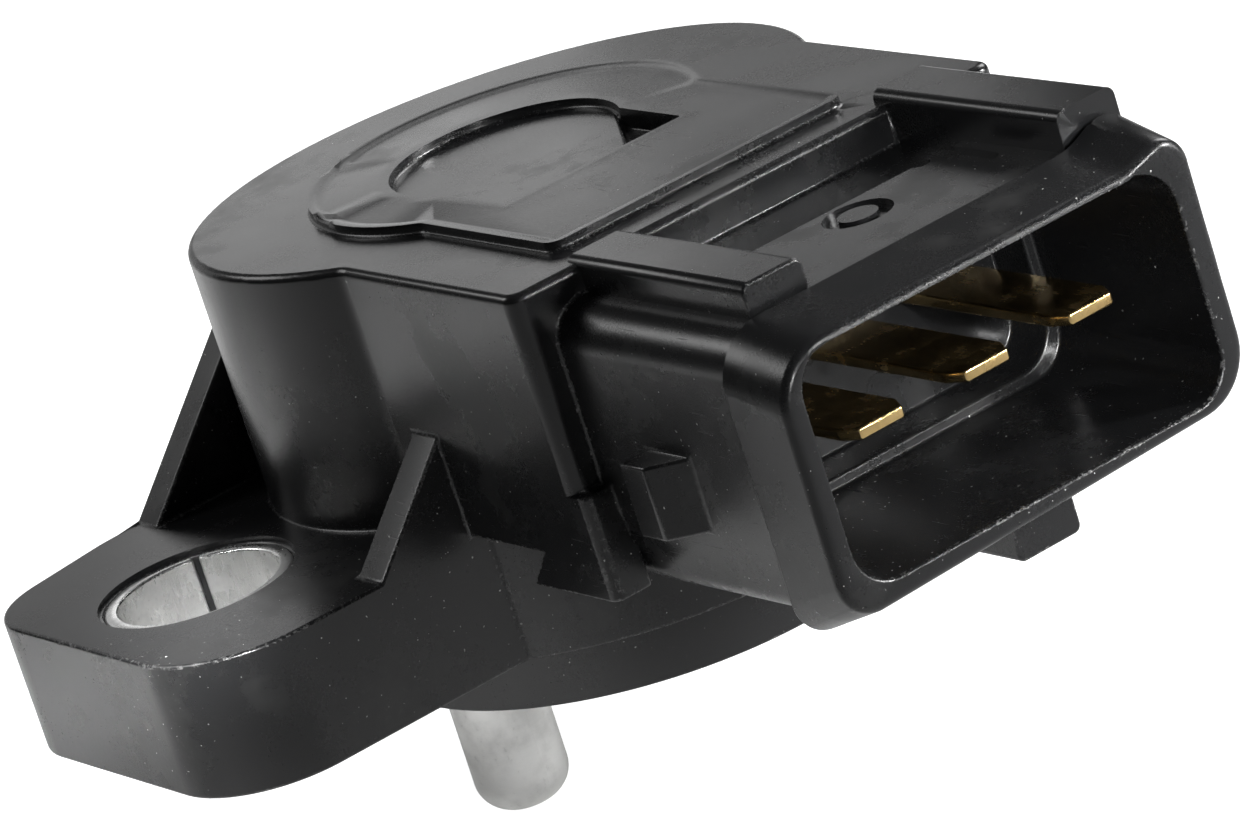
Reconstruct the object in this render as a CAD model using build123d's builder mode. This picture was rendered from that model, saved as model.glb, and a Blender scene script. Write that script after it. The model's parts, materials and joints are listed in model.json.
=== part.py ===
import os
from math import cos, radians, sin

from build123d import *

# Throttle position sensor, in millimetres. The rotor turns about Z, the flange seats on the
# throttle body at Z = 0, and the connector points along +X.

# Drum, lid and base
drum_long_radius = 12.96
drum_short_radius = 11.03
drum_turn_angle = 251.2
drum_x = -1.13
drum_y = 0.19
base_radius = 12.2
bore_radius = 10.4
lid_height = 16.5
roof = 1.8
lid_edge_round = 0.33

# Neck between the drum and the connector
neck_end = 15.7
neck_near_inset = 2.21
neck_far_inset = 1.06
neck_crease_round = 1.2
neck_corner_round = 0.7
cheek_end = 16.7
cheek_thickness = 1.5

# Raised panel on the lid and the plain recess in it
panel_radius = 8.15
panel_x = 0.1
panel_y = -0.1
panel_half_width = 7.1
panel_end = 13.5
panel_rise = 0.4
recess_radius = 4.75
recess_x = 0.6
recess_y = -0.5
recess_end = 7.0
recess_near = 4.8
recess_far = 3.75
recess_depth = 0.4
pocket_length = 4.6
pocket_width = 2.7
pocket_depth = 0.5

# Ears, their screw holes and gussets
ear_thickness = 5.65
ear_right = 7.0
ear_left = 10.3
ear_left_root = 11.6
ear_left_knee = 17.0
ear_reach = 23.5
ear_right_round = 4.5
ear_left_round = 3.6
hole_x = -2.6
hole_edge = 5.8
bush_bore_radius = 3.3
bush_wall = 0.55
bush_slit = 0.25
bush_slit_angle = 150.0
bush_drop = 0.2
bush_lead = 0.2
gusset_foot = 15.0
gusset_left_width = 1.5
gusset_left_root = 5.0
gusset_right_width = 1.8
gusset_right_root = 9.5

# Connector shell, collar and mouth
plug_z = 10.18
mouth_x = 30.3
collar_length = 3.6
collar_near = 9.8
collar_far = 10.2
collar_bottom = 3.5
collar_top = 15.6
collar_crest = 1.3
collar_crest_width = 3.0
collar_crest_round = 1.2
collar_foot_lift = 0.5
collar_foot_round = 1.6
collar_round = 2.4
lip_near = 9.75
lip_far = 9.88
lip_bottom = 4.75
lip_top = 15.15
lip_crest = 0.8
collar_lip_round = 0.4
shell_near = 9.4
shell_far = 9.9
shell_top = 15.4
shell_seam = 7.3
shell_bottom = 3.9
shell_taper = 0.7
shell_top_round = 1.6
shell_bottom_round = 1.3
mouth_width = 17.6
mouth_z = 10.23
mouth_height = 9.2
mouth_round = 1.7
mouth_back = 20.5
well_back = 18.3
well_drop = 0.9
well_inset = 0.5

# Ridges, channel and lugs on the connector
ridge_width = 2.8
ridge_near_top = 16.7
ridge_far_top = 17.0
ridge_near_y = -6.15
ridge_far_y = 8.75
ridge_start = 14.9
ridge_near_end = 26.3
ridge_far_end = 26.4
ridge_round = 0.4
groove_end = 20.1
groove_depth = 0.5
nub_radius = 0.4
nub_y = 5.2
dimple_x = 21.75
dimple_y = 0.9
dimple_radius = 1.4
dimple_depth = 0.3
dimple_core_radius = 0.8
slot_x = 21.2
slot_y = 6.35
slot_length = 4.2
slot_width = 0.9
side_lug_x = 19.5
side_lug_flat = 1.6
side_lug_proud = 1.3
side_lug_top = 10.3
side_lug_height = 3.0
keel_near = 1.28
keel_far = 1.72
keel_round = 0.35
keel_start = 20.5
keel_end = 28.9
keel_bottom = 3.05

# Buttress foot under each end of the neck
foot_base_x = 10.6
foot_top_x = 14.6
foot_end_x = 16.3
foot_top = 8.4
foot_bottom = 4.1
foot_thickness = 1.7
foot_bevel = 0.3

# Terminals
terminal_pitch = 5.0
blade_width = 2.8
blade_z = 10.45
blade_thickness = 0.5
blade_tip_x = 28.65
blade_tip_width = 2.0
blade_tip_length = 0.9
lead_x = 14.2
tail_width = 1.6
tail_end_x = 6.9
tail_thickness = 0.5

# Track board under the roof
board_radius = 10.1
board_thickness = 1.0
board_bore_radius = 3.4
board_flat_x = -8.7
tail_gap = 0.05
roof_gap = 0.25
track_thickness = 0.1
resistor_inner = 7.0
resistor_outer = 8.4
collector_inner = 4.6
collector_outer = 6.0
track_start_angle = 150.0
track_sweep_angle = 150.0
rivet_x = 7.9
rivet_radius = 0.5
rivet_head_radius = 0.7
rivet_head = 0.2

# Cover with the spigot
spigot_radius = 11.4
spigot_height = 2.4
cover_fit = 0.05
cover_register = 2.8
web_bottom = 0.3
cover_boss_radius = 4.8
seal_groove_z = 1.4
seal_groove_height = 1.0
seal_ring_width = 0.8
seal_ring_round = 0.25

# Rotor
shaft_radius = 2.0
shaft_bottom = -1.9
running_gap = 0.05
press_gap = 0.01
disc_radius = 10.2
disc_gap = 0.35
disc_bottom = -2.1
disc_top = 0.0
disc_hub_radius = 3.6
disc_web_rise = 1.0
disc_rim = 1.2
pin_radius = 1.95
pin_root_radius = 1.7
pin_root_end = -2.5
pin_orbit = 7.8
pin_angle = -96.0
pin_tip = -8.5
pin_end_round = 1.35
pin_boss_radius = 3.1
bearing_radius = 3.0
bearing_bottom = 0.6
bearing_headroom = 0.6
lip_seal_radius = 4.0
lip_seal_height = 1.4
washer_radius = 3.6
washer_gap = 0.05
washer_thickness = 0.3
hub_height = 3.7
hub_rise = 1.2
hub_radius = 3.6
carrier_radius = 9.0
carrier_thickness = 1.5
carrier_sweep_angle = 150.0
clip_thickness = 0.5
clip_radius = 3.3
clip_groove_radius = 1.6
clip_mouth = 2.6
clip_headroom = 0.6
top_boss_radius = 3.0
top_boss_length = 2.1
top_socket_depth = 0.6

# Stop peg of the disc in the curved groove of the cover
stop_radius = 6.4
stop_peg_radius = 0.8
stop_peg_rise = 0.8
stop_gap = 0.3
stop_angle = 40.0
travel_angle = 100.0

# Wiper
wiper_angle = 180.0
wiper_plate = 0.2
wiper_half_angle = 28.0
finger_width = 0.6
finger_gap = 0.35
finger_start = -2.0
finger_end = 1.0
finger_tip_gap = 0.02

# Torsion spring
spring_radius = 6.3
wire_radius = 0.35
wire_sides = 8
spring_turns = 3.5
spring_gap = 0.05
spring_leg_hole = 0.5
spring_lower_leg = 1.3
spring_upper_leg = 0.8

os.makedirs("parts", exist_ok=True)


# Levels and radii worked out from the sizes above
roof_under = lid_height - roof
neck_near = drum_long_radius - neck_near_inset
neck_far = drum_long_radius - neck_far_inset
hole_y = hole_edge - ear_reach
cover_seat = spigot_radius - bore_radius + cover_fit
clip_bottom = roof_under - top_boss_length - clip_headroom - clip_thickness
hub_top = clip_bottom
hub_bottom = hub_top - hub_height
carrier_top = hub_top - hub_rise
carrier_bottom = carrier_top - carrier_thickness
cover_boss_top = hub_bottom - washer_thickness - 2 * washer_gap
bearing_top = cover_boss_top - lip_seal_height - bearing_headroom
tail_top = roof_under - roof_gap
tail_bottom = tail_top - tail_thickness
board_top = tail_bottom - tail_gap
board_bottom = board_top - board_thickness
track_bottom = board_bottom - track_thickness
bush_radius = bush_bore_radius + bush_wall
collar_back = mouth_x - collar_length
neck_width = neck_near + neck_far
neck_mid = (neck_far - neck_near) / 2
pin_x = pin_orbit * cos(radians(pin_angle))
pin_y = pin_orbit * sin(radians(pin_angle))
shaft_top = roof_under + top_socket_depth - running_gap
finger_root = carrier_top + wiper_plate
spring_bottom = cover_register + spring_gap + wire_radius
spring_top = carrier_bottom - spring_gap - wire_radius


# A ring sector in the current sketch
def sector(inner, outer, start, sweep_angle):
    with BuildLine() as outline:
        CenterArc((0, 0), outer, start, sweep_angle)
        CenterArc((0, 0), inner, start, sweep_angle)
        for angle in (start, start + sweep_angle):
            PolarLine((inner * cos(radians(angle)), inner * sin(radians(angle))), outer - inner, angle)
    make_face(outline.edges())


# Terminals: flat blades that step up inside the neck and end in a tail over the track board
terminals = []
for number in (1, 2, 3):
    y = (number - 2) * terminal_pitch
    with BuildPart() as terminal:
        with BuildSketch(Plane.XY.offset(blade_z - blade_thickness / 2)):
            Polygon(
                (lead_x, y - blade_width / 2),
                (blade_tip_x - blade_tip_length, y - blade_width / 2),
                (blade_tip_x, y - blade_tip_width / 2),
                (blade_tip_x, y + blade_tip_width / 2),
                (blade_tip_x - blade_tip_length, y + blade_width / 2),
                (lead_x, y + blade_width / 2),
                align=None,
            )
        extrude(amount=blade_thickness)
        with BuildSketch(Plane.XY.offset(blade_z - blade_thickness / 2)):
            with Locations((lead_x, y)):
                Rectangle(blade_thickness, tail_width, align=(Align.MIN, Align.CENTER))
        extrude(amount=tail_top - blade_z + blade_thickness / 2)
        with BuildSketch(Plane.XY.offset(tail_bottom)):
            with Locations((tail_end_x, y)):
                Rectangle(lead_x + blade_thickness - tail_end_x, tail_width, align=(Align.MIN, Align.CENTER))
        extrude(amount=tail_thickness)
        with Locations((rivet_x, y, tail_top)):
            Hole(rivet_radius + press_gap, depth=tail_thickness)
    terminal.part.label = f"terminal_{number}"
    terminals.append(terminal.part)

# Drum and neck up to the lid, with the cheek past the neck's far end
with BuildPart() as drum:
    with BuildSketch(Plane.XY.offset(ear_thickness)):
        with Locations((drum_x, drum_y)):
            Ellipse(drum_long_radius, drum_short_radius, rotation=drum_turn_angle)
        with Locations((neck_end / 2, neck_mid)):
            Rectangle(neck_end, neck_width)
        with Locations((cheek_end, neck_far)):
            Rectangle(cheek_end, cheek_thickness, align=(Align.MAX, Align.MAX))
    extrude(amount=lid_height - ear_thickness)
    uprights = drum.edges().filter_by(Axis.Z).sort_by(Axis.X)
    fillet(uprights.filter_by_position(Axis.X, 0, neck_end / 2), neck_crease_round)
    uprights = drum.edges().filter_by(Axis.Z)
    ends = uprights.filter_by_position(Axis.Y, neck_far, neck_far) + uprights.filter_by_position(
        Axis.Y, -neck_near, -neck_near
    )
    fillet(ends.filter_by_position(Axis.X, neck_end, cheek_end), neck_corner_round)
    fillet(drum.faces().sort_by(Axis.Z)[-1].edges(), lid_edge_round)

# Housing
with BuildPart() as housing:
    # Base and one ear with its two gussets, then the same half a turn round
    with BuildSketch():
        Circle(base_radius)
    extrude(amount=ear_thickness)
    with BuildSketch() as ear:
        Polygon(
            (ear_right, 0),
            (ear_right, -ear_reach),
            (-ear_left, -ear_reach),
            (-ear_left_root, -ear_left_knee),
            (-ear_left_root, 0),
            align=None,
        )
        end_corners = ear.vertices().group_by(Axis.Y)[0].sort_by(Axis.X)
        fillet(end_corners[-1], ear_right_round)
        end_corners = ear.vertices().group_by(Axis.Y)[0].sort_by(Axis.X)
        fillet(end_corners[0], ear_left_round)
    extrude(amount=ear_thickness)
    gussets = (
        (-ear_left_root, gusset_left_width, gusset_left_root),
        (ear_right - gusset_right_width, gusset_right_width, gusset_right_root),
    )
    for start, width, root in gussets:
        with BuildSketch(Plane.YZ.offset(start)):
            Polygon(
                (-gusset_foot, ear_thickness),
                (-root, ear_thickness),
                (-root, ear_thickness + gusset_foot - root),
                align=None,
            )
        extrude(amount=width)
    add(housing.part.rotate(Axis.Z, 180))

    add(drum.part)

    # Raised panel that follows the drum and the neck
    with BuildSketch(Plane.XY.offset(lid_height)) as panel:
        with Locations((panel_x, panel_y)):
            Circle(panel_radius)
        with Locations((panel_end / 2, 0)):
            Rectangle(panel_end, 2 * panel_half_width)
        fillet(panel.vertices().sort_by(Axis.X)[:2], neck_corner_round)
        fillet(panel.vertices().group_by(Axis.X)[-1], neck_corner_round)
    extrude(amount=panel_rise)
    with BuildSketch(Plane.XY.offset(lid_height + panel_rise)):
        with Locations((recess_x, recess_y)):
            Circle(recess_radius)
        Polygon(
            (recess_x, -recess_near),
            (recess_end, -recess_near),
            (recess_end, recess_far),
            (recess_x, recess_far),
            align=None,
        )
    extrude(amount=-recess_depth, mode=Mode.SUBTRACT)
    with BuildSketch(Plane.XY.offset(lid_height + panel_rise - recess_depth)):
        Polygon(
            (recess_end, recess_far),
            (recess_end - pocket_length, recess_far),
            (recess_end, recess_far - pocket_width),
            align=None,
        )
    extrude(amount=-pocket_depth, mode=Mode.SUBTRACT)

    # Connector shell: vertical flanks that taper in below the seam
    with BuildSketch(Plane.YZ.offset(neck_end - neck_corner_round)) as shell:
        Polygon(
            (-shell_near, shell_top),
            (shell_far, shell_top),
            (shell_far, shell_seam),
            (shell_far - shell_taper, shell_bottom),
            (-shell_near + shell_taper, shell_bottom),
            (-shell_near, shell_seam),
            align=None,
        )
        fillet(shell.vertices().group_by(Axis.Y)[-1], shell_top_round)
        fillet(shell.vertices().group_by(Axis.Y)[0], shell_bottom_round)
    extrude(amount=collar_back - neck_end + neck_corner_round)

    # Collar that narrows from its back edge to the rounded lip, with a crest at the far top corner
    outlines = (
        (collar_back, collar_near, collar_far, collar_bottom, collar_top, collar_crest),
        (mouth_x, lip_near, lip_far, lip_bottom, lip_top, lip_crest),
    )
    for x, near, far, bottom, top, crest in outlines:
        with BuildSketch(Plane.YZ.offset(x)):
            with BuildLine():
                FilletPolyline(
                    (-near, bottom),
                    (far, bottom + collar_foot_lift),
                    (far, top + crest),
                    (far - collar_crest_width, top),
                    (-near, top),
                    radius=(collar_foot_round, collar_round, collar_crest_round, collar_crest_width, collar_round),
                    close=True,
                )
            make_face()
    loft(ruled=True)
    fillet(housing.faces().sort_by(Axis.X)[-1].edges(), collar_lip_round)

    # Buttress foot under the neck on both sides
    for side, reach in ((-1, neck_near), (1, neck_far)):
        with BuildSketch(Plane.XZ.offset(-side * (reach - foot_thickness))):
            Polygon(
                (foot_base_x, foot_bottom),
                (foot_top_x, foot_top),
                (foot_end_x, foot_top),
                (foot_end_x, foot_bottom),
                align=None,
            )
        extrude(amount=-side * foot_thickness)
        with BuildSketch(Plane.XY.offset(foot_bottom)):
            Polygon(
                (foot_end_x, side * reach),
                (foot_end_x, side * (reach - foot_bevel)),
                (foot_end_x - foot_bevel, side * reach),
                align=None,
            )
        extrude(amount=foot_top - foot_bottom, mode=Mode.SUBTRACT)

    # Ridges along the connector
    ridges = (
        (ridge_near_y, ridge_near_end, ridge_near_top),
        (ridge_far_y, ridge_far_end, ridge_far_top),
    )
    for y, end, top in ridges:
        with BuildSketch(Plane.YZ.offset(ridge_start)) as ridge:
            with Locations((y, shell_seam)):
                Rectangle(ridge_width, top - shell_seam, align=(Align.CENTER, Align.MIN))
            fillet(ridge.vertices().group_by(Axis.Y)[-1], ridge_round)
        extrude(amount=end - ridge_start)

    # Groove beside the lid, dimple and side slot in the channel floor
    channel_near = ridge_near_y + ridge_width / 2
    channel_far = ridge_far_y - ridge_width / 2
    with BuildSketch(Plane.XY.offset(shell_top)):
        with Locations(((neck_end + groove_end) / 2, (channel_near + channel_far) / 2)):
            Rectangle(groove_end - neck_end, channel_far - channel_near)
    extrude(amount=-groove_depth, mode=Mode.SUBTRACT)
    with BuildSketch(Plane.XY.offset(shell_top)):
        with Locations((dimple_x, dimple_y)):
            Circle(dimple_radius)
            Circle(dimple_core_radius, mode=Mode.SUBTRACT)
        with Locations((slot_x, slot_y)):
            SlotOverall(slot_length, slot_width)
    extrude(amount=-dimple_depth, mode=Mode.SUBTRACT)
    with Locations((groove_end, nub_y, shell_top)):
        Sphere(nub_radius)

    # Snap lugs on both flanks and the keel below
    for side, flank in ((-1, shell_near), (1, shell_far)):
        with BuildSketch(Plane.XY.offset(side_lug_top - side_lug_height)):
            Polygon(
                (side_lug_x, side * (flank - side_lug_proud)),
                (side_lug_x, side * (flank + side_lug_proud)),
                (side_lug_x + side_lug_flat, side * (flank + side_lug_proud)),
                (side_lug_x + side_lug_flat + 2 * side_lug_proud, side * (flank - side_lug_proud)),
                align=None,
            )
        extrude(amount=side_lug_height)
    with BuildSketch(Plane.YZ.offset(keel_start)) as keel:
        with Locations(((keel_far - keel_near) / 2, keel_bottom)):
            Rectangle(keel_near + keel_far, plug_z - keel_bottom, align=(Align.CENTER, Align.MIN))
        fillet(keel.vertices().group_by(Axis.Y)[0], keel_round)
    extrude(amount=keel_end - keel_start)

    # Connector mouth and the lower well at its back
    with BuildSketch(Plane.YZ.offset(mouth_x)):
        with Locations((0, mouth_z)):
            RectangleRounded(mouth_width, mouth_height, mouth_round)
    extrude(amount=mouth_back - mouth_x, mode=Mode.SUBTRACT)
    with BuildSketch(Plane.YZ.offset(mouth_back)):
        with Locations((0, mouth_z + (well_inset - well_drop) / 2)):
            RectangleRounded(mouth_width - 2 * well_inset, mouth_height - well_inset - well_drop, mouth_round)
    extrude(amount=well_back - mouth_back, mode=Mode.SUBTRACT)

    # Bore for the works, the upper bearing boss and the moulded-in terminals
    with Locations((0, 0, 0)):
        Cylinder(bore_radius, roof_under, align=(Align.CENTER, Align.CENTER, Align.MIN), mode=Mode.SUBTRACT)
        Cone(
            spigot_radius + cover_fit,
            bore_radius,
            cover_seat,
            align=(Align.CENTER, Align.CENTER, Align.MIN),
            mode=Mode.SUBTRACT,
        )
    with Locations((0, 0, roof_under)):
        Cylinder(top_boss_radius, top_boss_length, align=(Align.CENTER, Align.CENTER, Align.MAX))
    with Locations((0, 0, roof_under - top_boss_length)):
        Cylinder(
            shaft_radius + running_gap,
            top_boss_length + top_socket_depth,
            align=(Align.CENTER, Align.CENTER, Align.MIN),
            mode=Mode.SUBTRACT,
        )
    for terminal_part in terminals:
        add(terminal_part, mode=Mode.SUBTRACT)

    # Screw holes with a shallow lead round each bush
    with BuildSketch() as holes:
        with Locations((hole_x, hole_y), (-hole_x, -hole_y)):
            Circle(bush_radius)
    extrude(amount=ear_thickness, mode=Mode.SUBTRACT)
    with BuildSketch(Plane.XY.offset(ear_thickness)):
        with Locations((hole_x, hole_y), (-hole_x, -hole_y)):
            Circle(bush_radius + bush_lead)
    extrude(amount=-bush_drop, mode=Mode.SUBTRACT)
housing.part.label = "housing"
export_step(housing.part, "parts/housing.step")
for terminal_part in terminals:
    export_step(terminal_part, f"parts/{terminal_part.label}.step")

# Rolled bushes with an open seam, one in each ear
for name, side in (("mount_bush_front", 1), ("mount_bush_rear", -1)):
    with BuildPart() as bush:
        with BuildSketch():
            with Locations((side * hole_x, side * hole_y)):
                Circle(bush_radius)
                Circle(bush_bore_radius, mode=Mode.SUBTRACT)
        extrude(amount=ear_thickness - bush_drop)
        with BuildSketch():
            slit_x = bush_radius * cos(radians(bush_slit_angle))
            slit_y = bush_radius * sin(radians(bush_slit_angle))
            with Locations((side * (hole_x + slit_x), side * (hole_y + slit_y))):
                Rectangle(3 * bush_wall, bush_slit, rotation=bush_slit_angle)
        extrude(amount=ear_thickness, mode=Mode.SUBTRACT)
    bush.part.label = name
    export_step(bush.part, f"parts/{name}.step")

# Cover: spigot ring, web with the bearing boss, seal groove, stop groove and spring hole
with BuildPart() as base_cover:
    with BuildSketch(Plane.XZ):
        with BuildLine():
            Polyline(
                (bearing_radius + press_gap, web_bottom),
                (disc_radius + disc_gap, web_bottom),
                (disc_radius + disc_gap, -spigot_height),
                (spigot_radius, -spigot_height),
                (spigot_radius, 0),
                (bore_radius - cover_fit, cover_seat),
                (bore_radius - cover_fit, seal_groove_z),
                (bore_radius - cover_fit - seal_ring_width, seal_groove_z),
                (bore_radius - cover_fit - seal_ring_width, seal_groove_z + seal_groove_height),
                (bore_radius - cover_fit, seal_groove_z + seal_groove_height),
                (bore_radius - cover_fit, cover_register),
                (cover_boss_radius, cover_register),
                (cover_boss_radius, cover_boss_top),
                (lip_seal_radius + press_gap, cover_boss_top),
                (lip_seal_radius + press_gap, cover_boss_top - lip_seal_height),
                (bearing_radius + press_gap, cover_boss_top - lip_seal_height),
                close=True,
            )
        make_face()
    revolve(axis=Axis.Z)
    with BuildSketch(Plane.XY.offset(web_bottom)) as stop_groove:
        stop_width = 2 * (stop_peg_radius + stop_gap)
        sector(stop_radius - stop_width / 2, stop_radius + stop_width / 2, stop_angle, travel_angle)
        with PolarLocations(stop_radius, 2, start_angle=stop_angle, angular_range=travel_angle, endpoint=True):
            Circle(stop_width / 2)
    extrude(amount=stop_peg_rise, mode=Mode.SUBTRACT)
    with Locations((spring_radius, 0, cover_register)):
        Hole(spring_leg_hole, depth=spring_lower_leg + spring_gap)
base_cover.part.label = "base_cover"
export_step(base_cover.part, "parts/base_cover.step")

# Sealing ring in the cover's groove
with BuildPart() as cover_seal:
    with BuildSketch(Plane.XZ) as ring_profile:
        with Locations((bore_radius - cover_fit - seal_ring_width / 2, seal_groove_z + seal_groove_height / 2)):
            Rectangle(seal_ring_width - 2 * press_gap, seal_groove_height - 2 * press_gap)
        chamfer(ring_profile.vertices(), seal_ring_round)
    revolve(axis=Axis.Z)
cover_seal.part.label = "cover_seal"
export_step(cover_seal.part, "parts/cover_seal.step")

# Bearing bush in the cover's boss
with BuildPart() as bearing_bush:
    with BuildSketch(Plane.XY.offset(bearing_bottom)):
        Circle(bearing_radius)
        Circle(shaft_radius + running_gap, mode=Mode.SUBTRACT)
    extrude(amount=bearing_top - bearing_bottom)
bearing_bush.part.label = "bearing_bush"
export_step(bearing_bush.part, "parts/bearing_bush.step")

# Lip seal over the bearing
with BuildPart() as shaft_seal:
    seal_floor = cover_boss_top - lip_seal_height
    with BuildSketch(Plane.XZ):
        with BuildLine():
            Polyline(
                (lip_seal_radius, seal_floor),
                (lip_seal_radius, cover_boss_top),
                (bearing_radius, cover_boss_top),
                (bearing_radius, seal_floor + lip_seal_height / 2),
                (shaft_radius + running_gap, cover_boss_top - lip_seal_height / 4),
                (shaft_radius + running_gap, seal_floor + lip_seal_height / 3),
                (bearing_radius - lip_seal_height / 3, seal_floor),
                close=True,
            )
        make_face()
    revolve(axis=Axis.Z)
shaft_seal.part.label = "shaft_seal"
export_step(shaft_seal.part, "parts/shaft_seal.step")

# Shaft with a clip groove and eased ends
with BuildPart() as rotor_shaft:
    with Locations((0, 0, shaft_bottom)):
        Cylinder(shaft_radius, shaft_top - shaft_bottom, align=(Align.CENTER, Align.CENTER, Align.MIN))
    chamfer(rotor_shaft.edges().filter_by(GeomType.CIRCLE), shaft_radius / 8)
    with BuildSketch(Plane.XY.offset(clip_bottom)):
        Circle(shaft_radius)
        Circle(clip_groove_radius, mode=Mode.SUBTRACT)
    extrude(amount=clip_thickness + press_gap, mode=Mode.SUBTRACT)
rotor_shaft.part.label = "rotor_shaft"
export_step(rotor_shaft.part, "parts/rotor_shaft.step")

# Disc in the spigot: hub, web, rim, pin boss and stop peg
with BuildPart() as drive_disc:
    with BuildSketch(Plane.XY.offset(disc_bottom)):
        Circle(disc_radius)
    extrude(amount=disc_top - disc_bottom)
    with BuildSketch(Plane.XY.offset(disc_bottom)) as hollow:
        Circle(disc_radius - disc_rim)
        Circle(disc_hub_radius, mode=Mode.SUBTRACT)
        with Locations((pin_x, pin_y)):
            Circle(pin_boss_radius, mode=Mode.SUBTRACT)
        with Locations((0, 0)):
            Rectangle(2 * disc_radius, disc_rim, rotation=pin_angle, mode=Mode.SUBTRACT)
            Rectangle(2 * disc_radius, disc_rim, rotation=pin_angle + 90, mode=Mode.SUBTRACT)
    extrude(amount=disc_top - disc_bottom - disc_web_rise, mode=Mode.SUBTRACT)
    stop_x = stop_radius * cos(radians(stop_angle))
    stop_y = stop_radius * sin(radians(stop_angle))
    with Locations((stop_x, stop_y, disc_top)):
        Cylinder(
            stop_peg_radius,
            web_bottom - disc_top + stop_peg_rise - stop_gap,
            align=(Align.CENTER, Align.CENTER, Align.MIN),
        )
    with BuildSketch(Plane.XY.offset(disc_bottom)):
        Circle(shaft_radius + press_gap)
        with Locations((pin_x, pin_y)):
            Circle(pin_root_radius + press_gap)
    extrude(amount=disc_top - disc_bottom, mode=Mode.SUBTRACT)
drive_disc.part.label = "drive_disc"
export_step(drive_disc.part, "parts/drive_disc.step")

# Drive pin with a domed end
with BuildPart() as drive_pin:
    with BuildSketch(Plane.XZ) as pin_profile:
        with BuildLine():
            Polyline(
                (0, pin_tip),
                (0, disc_top),
                (pin_root_radius, disc_top),
                (pin_root_radius, pin_root_end),
                (pin_radius, pin_root_end),
                (pin_radius, pin_tip),
                close=True,
            )
        make_face()
        end_corner = pin_profile.vertices().group_by(Axis.Y)[0].sort_by(Axis.X)[-1]
        fillet(end_corner, pin_end_round)
    revolve(axis=Axis.Z)
drive_pin.part = drive_pin.part.moved(Location((pin_x, pin_y, 0)))
drive_pin.part.label = "drive_pin"
export_step(drive_pin.part, "parts/drive_pin.step")

# Thrust washer between the boss and the carrier hub
with BuildPart() as thrust_washer:
    with BuildSketch(Plane.XY.offset(cover_boss_top + washer_gap)):
        Circle(washer_radius)
        Circle(shaft_radius + running_gap, mode=Mode.SUBTRACT)
    extrude(amount=washer_thickness)
thrust_washer.part.label = "thrust_washer"
export_step(thrust_washer.part, "parts/thrust_washer.step")

# Wiper carrier: hub with one sector-shaped arm
with BuildPart() as wiper_carrier:
    with BuildSketch(Plane.XY.offset(hub_bottom)):
        Circle(hub_radius)
    extrude(amount=hub_top - hub_bottom)
    with BuildSketch(Plane.XY.offset(carrier_bottom)):
        sector(shaft_radius, carrier_radius, wiper_angle - carrier_sweep_angle / 2, carrier_sweep_angle)
    extrude(amount=carrier_thickness)
    with Locations((0, 0, hub_top)):
        Hole(shaft_radius + press_gap, depth=hub_top - hub_bottom)
    with Locations((-spring_radius, 0, carrier_bottom + carrier_thickness)):
        Hole(spring_leg_hole, depth=carrier_thickness)
wiper_carrier.part.label = "wiper_carrier"
export_step(wiper_carrier.part, "parts/wiper_carrier.step")

# Wiper: plate on the carrier and two pairs of fingers that rise to the tracks
with BuildPart() as wiper:
    resistor_mid = (resistor_inner + resistor_outer) / 2
    collector_mid = (collector_inner + collector_outer) / 2
    with BuildSketch(Plane.XY.offset(carrier_top)):
        sector(collector_inner, resistor_outer, wiper_angle - wiper_half_angle, 2 * wiper_half_angle)
    extrude(amount=wiper_plate)
    for radius in (resistor_mid, collector_mid):
        for side in (-1, 1):
            x = -radius + side * (finger_width + finger_gap) / 2
            with BuildSketch(Plane.YZ.offset(x - finger_width / 2)):
                Polygon(
                    (finger_start, carrier_top),
                    (finger_start, finger_root),
                    (finger_end, track_bottom - finger_tip_gap),
                    (finger_end, track_bottom - finger_tip_gap - wiper_plate),
                    align=None,
                )
            extrude(amount=finger_width)
wiper.part.label = "wiper"
export_step(wiper.part, "parts/wiper.step")

# Open clip in the shaft's groove
with BuildPart() as retaining_clip:
    with BuildSketch(Plane.XY.offset(clip_bottom)):
        Circle(clip_radius)
        Circle(clip_groove_radius + press_gap, mode=Mode.SUBTRACT)
        with Locations((clip_radius, 0)):
            Rectangle(2 * clip_radius, clip_mouth, mode=Mode.SUBTRACT)
    extrude(amount=clip_thickness)
retaining_clip.part.label = "retaining_clip"
export_step(retaining_clip.part, "parts/retaining_clip.step")

# Torsion spring with a leg into the cover and one into the carrier
with BuildPart() as return_spring:
    with BuildLine() as coil:
        rise = spring_top - spring_bottom
        Helix(rise / spring_turns, rise, spring_radius, center=(0, 0, spring_bottom))
    with BuildSketch(Plane(origin=coil.line @ 0, x_dir=(1, 0, 0), z_dir=coil.line % 0)):
        RegularPolygon(wire_radius, wire_sides, rotation=180 / wire_sides)
    sweep(is_frenet=True)
    for x, low, high in (
        (spring_radius, cover_register - spring_lower_leg, spring_bottom),
        (-spring_radius, spring_top, carrier_bottom + spring_upper_leg),
    ):
        with BuildSketch(Plane.XY.offset(low)):
            with Locations((x, 0)):
                RegularPolygon(wire_radius, wire_sides, rotation=180 / wire_sides)
        extrude(amount=high - low)
return_spring.part.label = "return_spring"
export_step(return_spring.part, "parts/return_spring.step")

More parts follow.
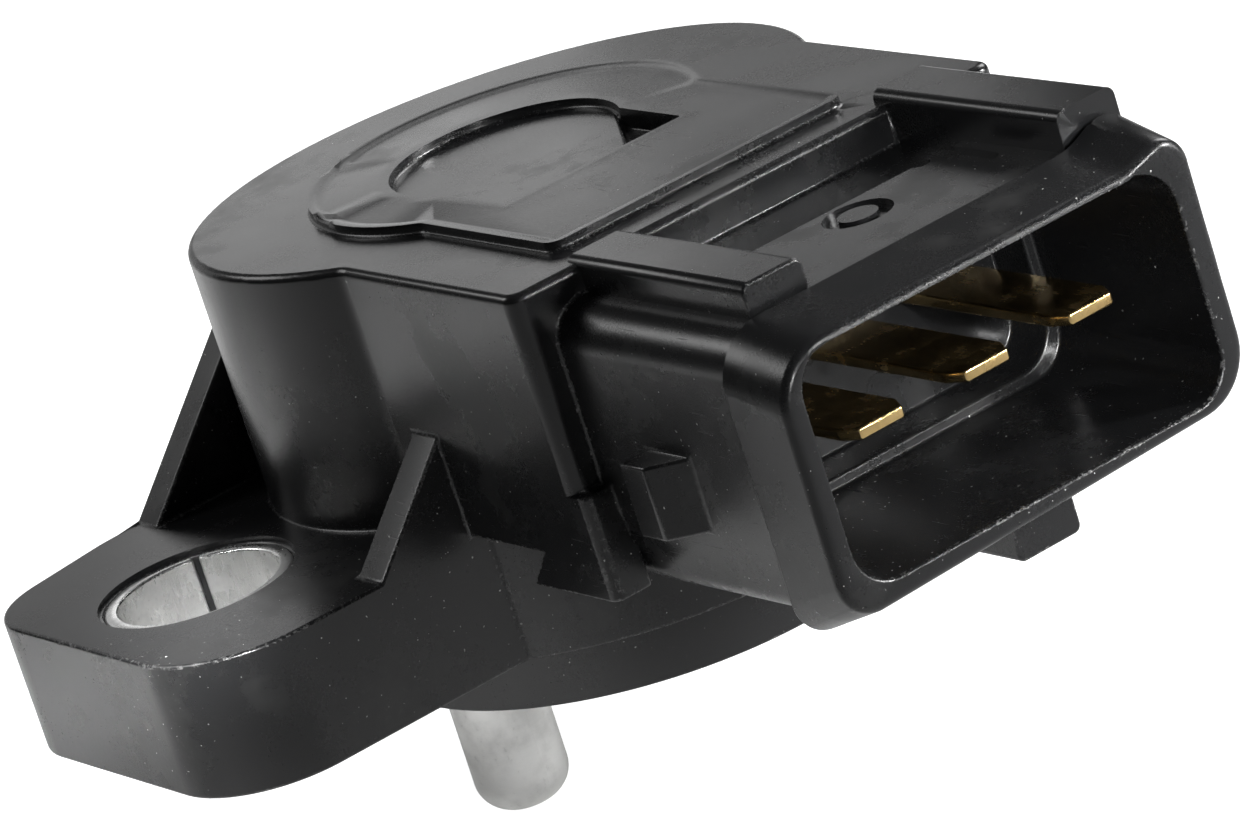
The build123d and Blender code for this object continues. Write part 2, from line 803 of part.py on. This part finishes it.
# Track board with rivet holes, and the two printed tracks under it
with BuildPart() as track_board:
    with BuildSketch(Plane.XY.offset(board_bottom)):
        Circle(board_radius)
        Circle(board_bore_radius, mode=Mode.SUBTRACT)
        with Locations((board_flat_x, 0)):
            Rectangle(board_radius, 2 * board_radius, align=(Align.MAX, Align.CENTER), mode=Mode.SUBTRACT)
        with Locations(*[(rivet_x, n * terminal_pitch) for n in (-1, 0, 1)]):
            Circle(rivet_radius + press_gap, mode=Mode.SUBTRACT)
    extrude(amount=board_thickness)
track_board.part.label = "track_board"
export_step(track_board.part, "parts/track_board.step")

for name, inner, outer in (
    ("resistor_track", resistor_inner, resistor_outer),
    ("collector_track", collector_inner, collector_outer),
):
    with BuildPart() as track:
        with BuildSketch(Plane.XY.offset(track_bottom)):
            sector(inner, outer, track_start_angle, track_sweep_angle)
        extrude(amount=track_thickness)
    track.part.label = name
    export_step(track.part, f"parts/{name}.step")

# Rivets that join the terminal tails to the board
with BuildPart() as board_rivets:
    for y in (-terminal_pitch, 0, terminal_pitch):
        with Locations((rivet_x, y, board_bottom - rivet_head)):
            Cylinder(rivet_head_radius, rivet_head, align=(Align.CENTER, Align.CENTER, Align.MIN))
            Cylinder(
                rivet_radius,
                rivet_head + board_thickness + tail_gap + tail_thickness,
                align=(Align.CENTER, Align.CENTER, Align.MIN),
            )
board_rivets.part.label = "board_rivets"
export_step(board_rivets.part, "parts/board_rivets.step")
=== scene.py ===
import itertools
import json
import math

import bmesh
import bpy
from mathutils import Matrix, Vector
from mathutils.geometry import intersect_line_line_2d


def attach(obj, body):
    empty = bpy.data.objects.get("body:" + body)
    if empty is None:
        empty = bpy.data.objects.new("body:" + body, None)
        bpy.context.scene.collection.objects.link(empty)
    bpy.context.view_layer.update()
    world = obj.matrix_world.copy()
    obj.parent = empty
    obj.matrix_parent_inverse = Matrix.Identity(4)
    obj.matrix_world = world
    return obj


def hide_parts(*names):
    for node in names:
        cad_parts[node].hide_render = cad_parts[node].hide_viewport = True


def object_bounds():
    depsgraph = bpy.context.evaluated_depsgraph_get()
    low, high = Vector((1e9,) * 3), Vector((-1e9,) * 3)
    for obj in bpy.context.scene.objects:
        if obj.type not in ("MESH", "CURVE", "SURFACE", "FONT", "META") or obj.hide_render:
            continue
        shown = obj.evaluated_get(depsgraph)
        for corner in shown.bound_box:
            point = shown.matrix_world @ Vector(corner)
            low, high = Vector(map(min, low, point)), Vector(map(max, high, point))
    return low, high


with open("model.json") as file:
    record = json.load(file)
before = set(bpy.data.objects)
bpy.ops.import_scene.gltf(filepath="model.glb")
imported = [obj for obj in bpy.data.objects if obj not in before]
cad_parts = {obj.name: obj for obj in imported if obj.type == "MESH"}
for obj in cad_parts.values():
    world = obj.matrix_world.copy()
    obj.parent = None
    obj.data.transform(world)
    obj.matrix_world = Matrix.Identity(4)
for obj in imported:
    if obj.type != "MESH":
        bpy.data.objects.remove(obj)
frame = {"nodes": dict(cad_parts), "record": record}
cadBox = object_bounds()
nodes = frame["nodes"]
scene = bpy.context.scene
scene.view_settings.view_transform = "Standard"
mm = 0.001


# Shader sockets as numbers: an expression on them adds its Math nodes
class Shade:
    def __init__(self, tree, socket=None):
        self.tree = tree
        self.socket = socket

    def node(self, kind, settings=None, inputs=None, out=0):
        made = self.tree.nodes.new("ShaderNode" + kind)
        for key, value in (settings or {}).items():
            if key == "stops":
                for spot, (place, colour) in enumerate(value):
                    points = made.color_ramp.elements
                    point = points[spot] if spot < len(points) else points.new(place)
                    point.position = place
                    point.color = (*colour, 1)
            else:
                setattr(made, key, value)
        for key, value in (inputs or {}).items():
            if isinstance(value, Shade):
                self.tree.links.new(value.socket, made.inputs[key])
            else:
                made.inputs[key].default_value = value
        return Shade(self.tree, made.outputs[out])

    def calc(self, operation, first, second):
        return self.node("Math", {"operation": operation}, {0: first, 1: second})

    def __add__(self, other):
        return self.calc("ADD", self, other)

    __radd__ = __add__

    def __sub__(self, other):
        return self.calc("SUBTRACT", self, other)

    def __rsub__(self, other):
        return self.calc("SUBTRACT", other, self)

    def __mul__(self, other):
        return self.calc("MULTIPLY", self, other)

    __rmul__ = __mul__

    # the patterns that most finishes share
    def noise(self, place, size, detail=2.0, rough=0.5):
        return self.node("TexNoise", None, {"Vector": place, "Scale": 1 / size, "Detail": detail, "Roughness": rough})

    def step(self, low, high):
        span = {"From Min": low, "From Max": high, "Value": self}
        return self.node("MapRange", {"interpolation_type": "SMOOTHSTEP"}, span)

    def blend(self, first, second):
        return self.node("Mix", {"data_type": "RGBA"}, {0: self, 6: first, 7: second}, out=2)


def newMaterial(name, roughness, metallic=0.0):
    material = bpy.data.materials.new(name)
    material.use_nodes = True
    tree = material.node_tree
    surface = tree.nodes["Principled BSDF"]
    surface.inputs["Roughness"].default_value = roughness
    surface.inputs["Metallic"].default_value = metallic
    shade = Shade(tree)
    place = shade.node("TexCoord", out=3)
    return material, shade, place, surface


def feed(shade, surface, **links):
    names = {"colour": "Base Color", "roughness": "Roughness", "normal": "Normal"}
    for key, value in links.items():
        shade.tree.links.new(value.socket, surface.inputs[names[key]])


def bump(shade, height, depth, strength, under=None):
    inputs = {"Height": height, "Distance": depth, "Strength": strength}
    if under is not None:
        inputs["Normal"] = under
    return shade.node("Bump", None, inputs)


# Satin black moulding of the housing and its cover
moulding = {
    # the pale edge colour is partly rubbed wear and partly a painted highlight along the edges
    "black": (0.009, 0.0092, 0.0098, 1), "dusty": (0.032, 0.032, 0.031, 1), "wornAndHighlight": (0.15, 0.15, 0.148, 1),
    "speck": (0.62, 0.62, 0.60, 1), "roughness": 0.24, "grain": 0.11 * mm, "flow": 3.5 * mm, "smudge": 6 * mm,
    "speckSize": 0.16 * mm, "dustGap": 4.2 * mm, "scratch": 0.10 * mm, "wearAndHighlight": 0.22 * mm,
}


def mouldingFinish(name):
    m = moulding
    material, shade, place, surface = newMaterial(name, m["roughness"])
    grain = shade.noise(place, m["grain"], 3.0, 0.6)
    pores = shade.noise(place, 4 * m["grain"], 2.0)
    flow = shade.noise(place, m["flow"], 3.0)
    smudge = shade.noise(place, m["smudge"], 6.0, 0.65).step(0.52, 0.72)
    patches = shade.noise(place, 2.2 * m["smudge"], 2.0).step(0.45, 0.65)
    specks = shade.noise(place, m["speckSize"], 1.0, 0.4).step(0.76, 0.80) * patches
    # sparse grains of dust, each with its own size
    cell = {"Vector": place, "Scale": 1 / m["dustGap"]}
    chance = shade.node("TexVoronoi", None, cell, out="Color")
    dust = (0.030 * chance - 0.011 - shade.node("TexVoronoi", None, cell, out="Distance")).step(0.0, 0.006)
    # hairline scratches along two slants
    lines = [shade.noise(shade.node("Mapping", None, {"Vector": place, "Rotation": turn, "Scale": (0.05, 1, 1)}),
                         m["scratch"], 1.0).step(0.74, 0.79) for turn in ((0.5, 0.9, 0.3), (1.2, 0.3, 2.1))]
    scratches = (lines[0] + lines[1]) * patches
    # pale edge colour on the rounded faces, in patches: partly rubbed wear, partly a painted highlight standing in
    # for the bright lines along the edges
    edge = shade.node("Attribute", {"attribute_name": "edgeWearAndHighlight"}, out="Fac")
    edgePatches = 0.25 + 0.75 * shade.noise(place, 1.5 * m["smudge"], 1.0).step(0.48, 0.62)
    wearAndHighlight = edge * edgePatches * shade.noise(place, m["wearAndHighlight"], 4.0, 0.7).step(0.5, 0.68)
    bloom = shade.noise(place, 3 * m["grain"], 5.0, 0.75).step(0.54, 0.74) * patches
    colour = (0.45 * smudge + 0.3 * bloom + 0.2 * scratches).blend(m["black"], m["dusty"])
    colour = (0.75 * wearAndHighlight + 0.16 * bloom * smudge).blend(colour, m["wornAndHighlight"])
    colour = (specks + dust).blend(colour, m["speck"])
    roughness = m["roughness"] - 0.05 + 0.08 * flow + 0.06 * grain + 0.1 * smudge + 0.12 * wearAndHighlight + 0.1 * scratches
    height = 0.6 * grain + 0.4 * pores - 0.5 * scratches + 0.4 * wearAndHighlight
    feed(shade, surface, colour=colour, roughness=roughness + 0.3 * (specks + dust),
         normal=bump(shade, height, 0.012 * mm, 0.35))
    return material


# Bare and plated metals
metals = {
    "zinc_steel": {"colour": (0.90, 0.90, 0.89), "dark": (0.60, 0.60, 0.60),
                   "roughness": 0.26, "streak": (1, 1, 0.12)},
    "pin_steel": {"colour": (0.76, 0.76, 0.745), "dark": (0.56, 0.56, 0.545),
                  "roughness": 0.36, "streak": (0.3, 0.3, 4)},
    "terminal_brass": {"colour": (0.82, 0.60, 0.27), "dark": (0.46, 0.30, 0.12),
                       "roughness": 0.17, "streak": (0.12, 1, 1)},
    "bearing_brass": {"colour": (0.60, 0.42, 0.20), "dark": (0.36, 0.24, 0.11),
                      "roughness": 0.42, "streak": (1, 1, 1)},
    "track_silver": {"colour": (0.68, 0.68, 0.66), "dark": (0.45, 0.45, 0.44),
                     "roughness": 0.40, "streak": (1, 1, 1)},
}


def metalFinish(name):
    m = metals[name]
    material, shade, place, surface = newMaterial(name, m["roughness"], 1.0)
    drawn = shade.node("Mapping", None, {"Vector": place, "Scale": m["streak"]})
    streak = shade.noise(drawn, 0.12 * mm, 4.0, 0.6)
    cloud = shade.noise(place, 1.6 * mm, 5.0, 0.6).step(0.42, 0.7)
    pits = shade.noise(place, 0.2 * mm, 2.0, 0.5).step(0.66, 0.74)
    tone = 0.55 * cloud + 0.25 * streak + 0.3 * pits
    feed(shade, surface, colour=tone.blend((*m["colour"], 1), (*m["dark"], 1)),
         roughness=m["roughness"] - 0.08 + 0.16 * streak + 0.14 * cloud,
         normal=bump(shade, streak - 0.8 * pits, 0.006 * mm, 0.4))
    return material


# Inner mouldings, rubber, board and ink
softs = {
    "disc_plastic": {"colour": (0.035, 0.035, 0.038), "pale": (0.075, 0.075, 0.078), "roughness": 0.5, "grain": 0.15},
    "carrier_plastic": {"colour": (0.70, 0.68, 0.62), "pale": (0.80, 0.78, 0.72), "roughness": 0.45, "grain": 0.2},
    "seal_rubber": {"colour": (0.014, 0.014, 0.014), "pale": (0.035, 0.034, 0.033), "roughness": 0.7, "grain": 0.09},
    "board": {"colour": (0.23, 0.13, 0.055), "pale": (0.33, 0.21, 0.10), "roughness": 0.55, "grain": 0.3},
    "track_ink": {"colour": (0.012, 0.012, 0.012), "pale": (0.03, 0.03, 0.03), "roughness": 0.62, "grain": 0.07},
}


def softFinish(name):
    m = softs[name]
    material, shade, place, surface = newMaterial(name, m["roughness"])
    grain = shade.noise(place, m["grain"] * mm, 3.0, 0.6)
    cloud = shade.noise(place, 14 * m["grain"] * mm, 4.0, 0.6).step(0.4, 0.68)
    feed(shade, surface, colour=(0.6 * cloud + 0.35 * grain).blend((*m["colour"], 1), (*m["pale"], 1)),
         roughness=m["roughness"] - 0.07 + 0.14 * grain + 0.08 * cloud,
         normal=bump(shade, grain, 0.012 * mm, 0.4))
    return material


finishes = {"black_plastic": mouldingFinish("black_plastic")}
finishes.update({name: metalFinish(name) for name in metals})
finishes.update({name: softFinish(name) for name in softs})


def dress(piece, finish):
    piece.data.materials.clear()
    piece.data.materials.append(finishes[finish])


slotOf = {row["node"]: row["material_slot"] for row in frame["record"]["subparts"]}
for name, piece in nodes.items():
    dress(piece, slotOf[name])
print("finishes on", len(nodes), "nodes")

# Moulded and stamped pieces get their small edge rounds on a merged copy of the node; angles in degrees
bench = {
    "merge": 0.002 * mm, "flat": 0.4,       # doubles and flat joins that go before the rounds
    "tight": 20, "room": 2.2,               # corners left alone, and widths of face that a round needs
    "tries": 6, "overlap": 0.002 * mm * mm, "clear": 3,
    "crisp": 50,                            # edges with no room for a round stay sharp above this
}
rounds = {
    "housing": {"width": 0.14 * mm, "segments": 2, "sharp": 30,
                "sheltered": ((18, 29.2), (-9.3, 9.3), (4.6, 15))},  # x, y and z of the mouth in mm
    "base_cover": {"width": 0.12 * mm, "segments": 2, "sharp": 30},
    "mount_bush_front": {"width": 0.10 * mm, "segments": 2, "sharp": 40},
    "mount_bush_rear": {"width": 0.10 * mm, "segments": 2, "sharp": 40},
    "terminal_1": {"width": 0.12 * mm, "segments": 3, "sharp": 20},
    "terminal_2": {"width": 0.12 * mm, "segments": 3, "sharp": 20},
    "terminal_3": {"width": 0.12 * mm, "segments": 3, "sharp": 20},
}


# The lid's raised panel rolls down softly to its outline: inward steps, and how far each outer rim sinks
panel = {
    "top": 16.9 * mm, "steps": ((0.30 * mm, 0.06 * mm), (0.34 * mm, 0.03 * mm)),
    "recess": ((-4.4 * mm, -5.5 * mm), (7.2 * mm, 4.5 * mm)), "strong": 16384,
}


def softenPanel(bm):
    strength = bm.faces.layers.int.new("__mod_weightednormals_faceweight")
    tops = [face for face in bm.faces
            if face.normal.z > 0.99 and abs(face.calc_center_median().z - panel["top"]) < 0.01 * mm]
    low, high = panel["recess"]
    rims = []
    for width, drop in panel["steps"]:
        inside = set(tops)
        rim = {v for face in tops for edge in face.edges if any(f not in inside for f in edge.link_faces)
               for v in edge.verts}
        rims.append(([v for v in rim if not (low[0] < v.co.x < high[0] and low[1] < v.co.y < high[1])], drop))
        bmesh.ops.inset_region(bm, faces=tops, thickness=width, use_boundary=True, use_even_offset=True)
    for face in tops:
        face[strength] = panel["strong"]  # the flat of the panel leads the shading of its soft rim
    sunk = 0.0
    for rim, drop in reversed(rims):
        sunk += drop
        bmesh.ops.translate(bm, verts=rim, vec=(0, 0, -sunk))
    print("panel rim", len(rims[0][0]), "points")


# sharp edges with room for a round on both sides
def edgesToRound(bm, r):
    tight = set()
    for face in bm.faces:
        for loop in face.loops:
            if loop.calc_angle() < math.radians(bench["tight"]):
                tight.update((loop.edge, loop.link_loop_prev.edge))
    chosen = []
    for edge in bm.edges:
        if not edge.is_manifold or edge in tight or edge.calc_face_angle(0) < math.radians(r["sharp"]):
            continue
        start = edge.verts[0].co
        along = (edge.verts[1].co - start).normalized()
        depths = [max((v.co - start).cross(along).length for v in face.verts) for face in edge.link_faces]
        if min(depths) > bench["room"] * r["width"]:
            chosen.append(edge)
    return chosen


# corners of faces whose outline crosses itself after the bevel
def crossedSpots(bm):
    covered = {}
    for corners in bm.calc_loop_triangles():
        a, b, c = (corner.vert.co for corner in corners)
        covered[corners[0].face] = covered.get(corners[0].face, 0.0) + (b - a).cross(c - a).length / 2
    spots = []
    for face, area in covered.items():
        if area - face.calc_area() < bench["overlap"]:
            continue
        axis = max(range(3), key=lambda n: abs(face.normal[n]))
        spread = [(v.co, Vector((v.co[axis - 2], v.co[axis - 1]))) for v in face.verts]
        sides = list(zip(spread, spread[1:] + spread[:1]))
        for (a, b), (c, d) in itertools.combinations(sides, 2):
            if a is not d and b is not c and intersect_line_line_2d(a[1], b[1], c[1], d[1]):
                spots += [a[0], b[0], c[0], d[0]]
    return [spot.copy() for spot in spots]


def roundEdges(name):
    r = rounds[name]
    plain = bmesh.new()
    plain.from_mesh(nodes[name].data)
    bmesh.ops.remove_doubles(plain, verts=plain.verts, dist=bench["merge"])
    bmesh.ops.dissolve_limit(plain, angle_limit=math.radians(bench["flat"]), verts=plain.verts, edges=plain.edges)
    if name == "housing":
        softenPanel(plain)
    sharp = edgesToRound(plain, r)
    bmesh.ops.connect_verts_concave(plain, faces=plain.faces)
    # marks the faces of the rounds for the pale edge colour, partly wear and partly a painted highlight
    plain.faces.layers.float.new("edgeWearAndHighlight")
    plain.edges.index_update()
    chosen = [(edge.index, [v.co.copy() for v in edge.verts]) for edge in sharp]
    for attempt in range(bench["tries"]):
        bm = plain.copy()
        bm.edges.ensure_lookup_table()
        made = bmesh.ops.bevel(bm, geom=[bm.edges[n] for n, ends in chosen], offset=r["width"],
                               segments=r["segments"], profile=0.5, affect="EDGES", clamp_overlap=False, material=-1)
        spots = crossedSpots(bm)
        print(name, "rounds", len(chosen), "crossings", len(spots) // 4)
        if not spots or attempt == bench["tries"] - 1:
            break
        bm.free()
        chosen = [(n, ends) for n, ends in chosen
                  if all((end - spot).length > bench["clear"] * r["width"] for end in ends for spot in spots)]
    plain.free()
    wornAndHighlight = bm.faces.layers.float["edgeWearAndHighlight"]
    for face in made["faces"]:
        inside = "sheltered" in r and all(low * mm < n < high * mm for n, (low, high)
                                          in zip(face.calc_center_median(), r["sheltered"]))
        face[wornAndHighlight] = 0.0 if inside else 1.0  # the edges deep in the mouth get no pale edge colour, neither wear nor painted highlight
    for face in bm.faces:
        face.smooth = True
    for edge in bm.edges:
        edge.smooth = edge.calc_face_angle(0) < math.radians(bench["crisp"])
    mesh = bpy.data.meshes.new(name + "_rounded")
    bm.to_mesh(mesh)
    bm.free()
    piece = bpy.data.objects.new(name + "_rounded", mesh)
    scene.collection.objects.link(piece)
    even = piece.modifiers.new("evenNormals", "WEIGHTED_NORMAL")  # keeps the broad faces flat beside the rounds
    even.weight = 100
    even.keep_sharp = True
    even.use_face_influence = name == "housing"
    dress(piece, slotOf[name])
    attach(piece, "body")
    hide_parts(name)
    return piece


for name in rounds:
    roundEdges(name)
print("edges rounded on", len(rounds), "pieces")

# Floor: pale, white to the camera, with the object's shadow left in it
ground = {"level": cadBox[0][2] - 0.02 * mm, "size": 3.0, "pale": (0.86, 0.86, 0.86, 1), "glow": 0.9, "sheen": 0.16}


def buildFloor():
    bm = bmesh.new()
    bmesh.ops.create_grid(bm, x_segments=1, y_segments=1, size=ground["size"] / 2)
    bmesh.ops.translate(bm, verts=bm.verts, vec=(0, 0, ground["level"]))
    mesh = bpy.data.meshes.new("floor")
    bm.to_mesh(mesh)
    bm.free()
    floor = bpy.data.objects.new("floor", mesh)
    scene.collection.objects.link(floor)
    material, shade, place, surface = newMaterial("floor", 0.9)
    tree = material.node_tree
    surface.inputs["Base Color"].default_value = ground["pale"]
    surface.inputs["Specular IOR Level"].default_value = 0.0
    seen = whiteRays(shade, ground["glow"], ground["sheen"])
    dark = shade.node("Emission", None, {"Strength": 0.0})
    white = shade.node("Emission", None, {"Strength": 1.0})
    glow = shade.node("MixShader", None, {0: seen, 1: dark, 2: white})
    both = shade.node("AddShader", None, {0: Shade(tree, surface.outputs[0]), 1: glow})
    tree.links.new(both.socket, tree.nodes["Material Output"].inputs[0])
    mesh.materials.append(material)


# share of plain white that camera rays see, and that reflections see
def whiteRays(shade, straight, mirrored):
    rays = [shade.node("LightPath", out=name) for name in ("Is Camera Ray", "Is Glossy Ray", "Is Transmission Ray")]
    return straight * rays[0] + mirrored * (rays[1] + rays[2])


def buildWorld():
    world = bpy.data.worlds.new("studio")
    world.use_nodes = True
    tree = world.node_tree
    tree.nodes.clear()
    shade = Shade(tree)
    soft = shade.node("Background", None, {"Color": (0.96, 0.98, 1, 1), "Strength": studio["ambient"]})
    white = shade.node("Background", None, {"Strength": 1.0})
    share = whiteRays(shade, 1.0, studio["mirrored"])
    both = shade.node("MixShader", None, {0: share, 1: soft, 2: white})
    output = tree.nodes.new("ShaderNodeOutputWorld")
    tree.links.new(both.socket, output.inputs[0])
    scene.world = world


# Studio: cards behind the drum for the lid, beams on the floor that the walls mirror, narrow beams at mouth and bush
studio = {
    "ambient": 0.02, "mirrored": 0.046,
    "lamps": (  # name, place and aim in mm, size in mm, watts, spread in degrees
        ("cardLow", (-75, 0, 16), (40, -5, 12), (80, 60), 0.0072, 180),
        ("cardLid", (-75, 32, 40), (10, 0, 15), (30, 30), 0.0019, 180),
        ("cardFar", (-75, 57, 48), (20, 4, 16), (28, 18), 0.0014, 180),
        ("cardRim", (-75, 54, 12), (0, 6, 16), (50, 26), 0.0044, 180),
        ("floorNear", (-80, -60, 90), (-45, -45, -8), (50, 50), 0.031, 180),
        ("beamLeft", (-56, -70, 70), (-46, -46, -8), (14, 14), 0.0026, 40),
        ("beamEar", (-36, -64, 62), (-34, -38, -8), (8, 8), 0.0026, 16),
        ("beamFront", (-6, -70, 70), (6, -30, -8), (14, 14), 0.0026, 30),
        ("right", (160, 200, 60), (15, 5, 10), (120, 120), 0.25, 180),
        ("rightHigh", (160, 200, 110), (15, 6, 14), (60, 60), 0.011, 11),
        ("back", (-60, 220, 160), (0, 0, 8), (120, 120), 0.30, 180),
        ("mouth", (190, -30, 52), (24, 5, 9), (16, 16), 0.0013, 9),
        ("mouthFar", (170, 60, 60), (24, 2, 8), (20, 20), 0.0010, 14),
        ("bush", (150, -110, 110), (-3.2, -18, 2), (6, 6), 0.0007, 1.8),
    ),
}


def buildLamps():
    for name, spot, target, size, power, spread in studio["lamps"]:
        lamp = bpy.data.lights.new(name, "AREA")
        lamp.shape = "RECTANGLE"
        lamp.size = size[0] * mm
        lamp.size_y = size[1] * mm
        lamp.energy = power
        lamp.spread = math.radians(spread)
        piece = bpy.data.objects.new(name, lamp)
        piece.location = [mm * n for n in spot]
        piece.rotation_euler = (Vector(target) - Vector(spot)).to_track_quat("-Z", "Y").to_euler()
        piece.visible_camera = False
        scene.collection.objects.link(piece)


# Camera at the photograph's place, in mm and degrees
view = {"spot": (229.919, -129.391, 92.289), "turn": (70.7462, 16.9256, 54.5896), "lens": 201.92}


def buildCamera():
    data = bpy.data.cameras.new("camera")
    data.lens = view["lens"]
    data.sensor_width = 36
    data.clip_start = 0.01
    camera = bpy.data.objects.new("camera", data)
    camera.location = [mm * n for n in view["spot"]]
    camera.rotation_euler = [math.radians(n) for n in view["turn"]]
    scene.collection.objects.link(camera)
    scene.camera = camera


buildCamera()
buildFloor()
buildWorld()
buildLamps()
print("stage set")
